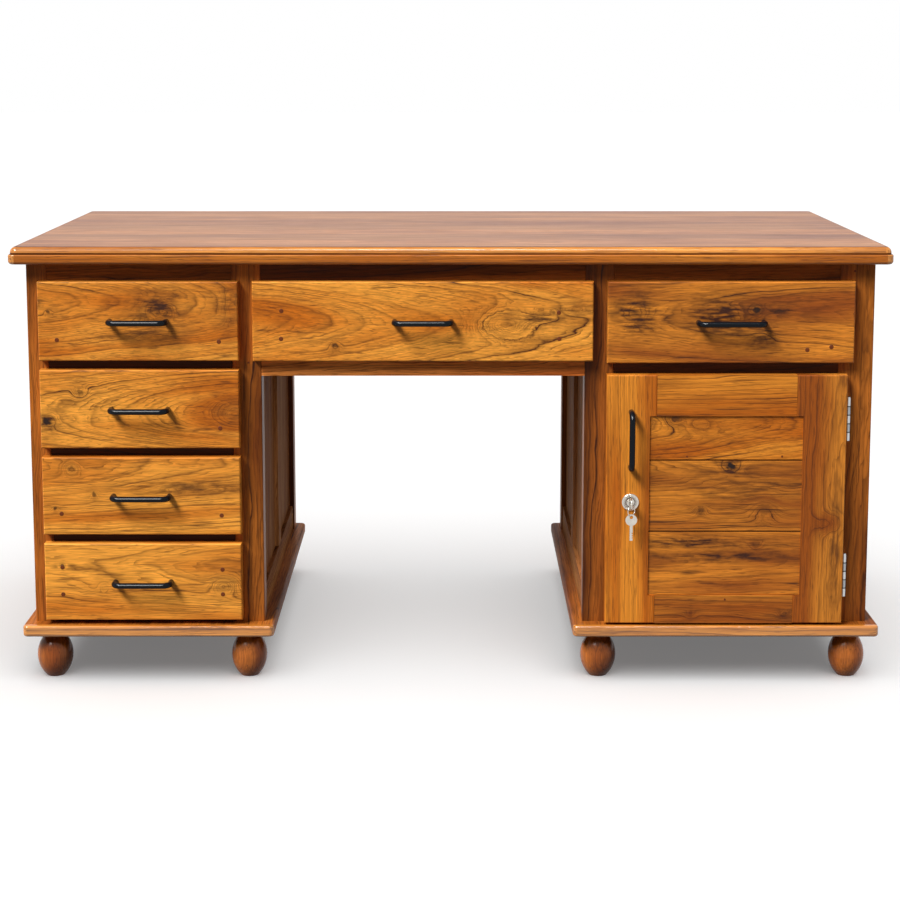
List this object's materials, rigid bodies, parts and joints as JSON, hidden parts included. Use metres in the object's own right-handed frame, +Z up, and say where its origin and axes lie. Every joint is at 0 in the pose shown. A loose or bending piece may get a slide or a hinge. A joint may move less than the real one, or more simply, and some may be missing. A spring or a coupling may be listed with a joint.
{
  "type": "pedestal desk",
  "caption": "Wooden pedestal desk with drawers on one side, a drawer over a lockable cabinet on the other, a wide centre drawer and turned ball feet.",
  "frame": {"origin": "on the floor, at the middle of the desk's box", "axes": "+X to the right of someone at the desk's front, +Y to the back, +Z up"},
  "size_m": [1.5, 0.773, 0.76],
  "materials": {
    "teak_top": "satin varnish",
    "teak_front": "satin varnish",
    "teak_frame": "satin varnish",
    "teak_panel": "satin varnish",
    "teak_turned": "satin varnish",
    "inner_wood": "plain oiled",
    "black_metal": "satin black",
    "hinge_steel": "bright zinc",
    "nickel": "nickel plate"
  },
  "bodies": {
    "carcass": {"desk_top": "teak_top", "bun_feet": "teak_turned", "left_plinth": "teak_frame", "right_plinth": "teak_frame", "left_front_outer_post": "teak_frame", "left_front_inner_post": "teak_frame", "right_front_inner_post": "teak_frame", "right_front_outer_post": "teak_frame", "back_posts": "teak_frame", "left_top_rail": "teak_frame", "left_drawer_rails": "teak_frame", "right_top_rail": "teak_frame", "right_middle_rail": "teak_frame", "centre_top_rail": "teak_frame", "centre_apron_rail": "teak_frame", "centre_back_apron": "teak_frame", "left_outer_side_frame": "teak_frame", "left_inner_side_frame": "teak_frame", "right_inner_side_frame": "teak_frame", "right_outer_side_frame": "teak_frame", "left_side_panels": "teak_panel", "right_side_panels": "teak_panel", "left_back_panel": "teak_panel", "right_back_panel": "teak_panel", "drawer_runners": "inner_wood", "cabinet_shelf": "inner_wood", "shelf_cleats": "inner_wood", "hinge_post_leaves": "hinge_steel", "hinge_pins": "hinge_steel", "lock_keeper": "hinge_steel"},
    "left_drawer_1": {"left_drawer_1_front": "teak_front", "left_drawer_1_box": "inner_wood", "left_drawer_1_pull": "black_metal"},
    "left_drawer_2": {"left_drawer_2_front": "teak_front", "left_drawer_2_box": "inner_wood", "left_drawer_2_pull": "black_metal"},
    "left_drawer_3": {"left_drawer_3_front": "teak_front", "left_drawer_3_box": "inner_wood", "left_drawer_3_pull": "black_metal"},
    "left_drawer_4": {"left_drawer_4_front": "teak_front", "left_drawer_4_box": "inner_wood", "left_drawer_4_pull": "black_metal"},
    "centre_drawer": {"centre_drawer_front": "teak_front", "centre_drawer_box": "inner_wood", "centre_drawer_pull": "black_metal"},
    "right_drawer": {"right_drawer_front": "teak_front", "right_drawer_box": "inner_wood", "right_drawer_pull": "black_metal"},
    "door": {"door_lock_stile": "teak_front", "door_hinge_stile": "teak_front", "door_rails": "teak_front", "door_panel_boards": "teak_front", "door_pull": "black_metal", "hinge_door_leaves": "hinge_steel", "lock_body": "nickel"},
    "lock_plug": {"lock_plug": "nickel", "lock_cam": "hinge_steel"},
    "key": {"key": "nickel"},
    "key_ring": {"key_ring": "nickel", "spare_key": "nickel"}
  },
  "joints": [
    {"name": "left_drawer_1_slide", "type": "slide", "parent": "carcass", "child": "left_drawer_1", "axis": [0, -1, 0], "range_m": [0, 0.45]},
    {"name": "left_drawer_2_slide", "type": "slide", "parent": "carcass", "child": "left_drawer_2", "axis": [0, -1, 0], "range_m": [0, 0.45]},
    {"name": "left_drawer_3_slide", "type": "slide", "parent": "carcass", "child": "left_drawer_3", "axis": [0, -1, 0], "range_m": [0, 0.45]},
    {"name": "left_drawer_4_slide", "type": "slide", "parent": "carcass", "child": "left_drawer_4", "axis": [0, -1, 0], "range_m": [0, 0.45]},
    {"name": "centre_drawer_slide", "type": "slide", "parent": "carcass", "child": "centre_drawer", "axis": [0, -1, 0], "range_m": [0, 0.45]},
    {"name": "right_drawer_slide", "type": "slide", "parent": "carcass", "child": "right_drawer", "axis": [0, -1, 0], "range_m": [0, 0.45]},
    {"name": "door_hinge", "type": "hinge", "parent": "carcass", "child": "door", "pos_m": [0.684, -0.3355, 0.322], "axis": [0, 0, 1], "range_deg": [0, 110]},
    {"name": "lock_turn", "type": "hinge", "parent": "door", "child": "lock_plug", "pos_m": [0.309, -0.3565, 0.319], "axis": [0, -1, 0], "range_deg": [0, 90]},
    {"name": "key_withdraw", "type": "slide", "parent": "lock_plug", "child": "key", "axis": [0, -1, 0], "range_m": [0, 0.03]},
    {"name": "key_ring_swing", "type": "hinge", "parent": "key", "child": "key_ring", "pos_m": [0.309, -0.3785, 0.319], "axis": [1, 0, 0], "range_deg": [-60, 12]}
  ]
}
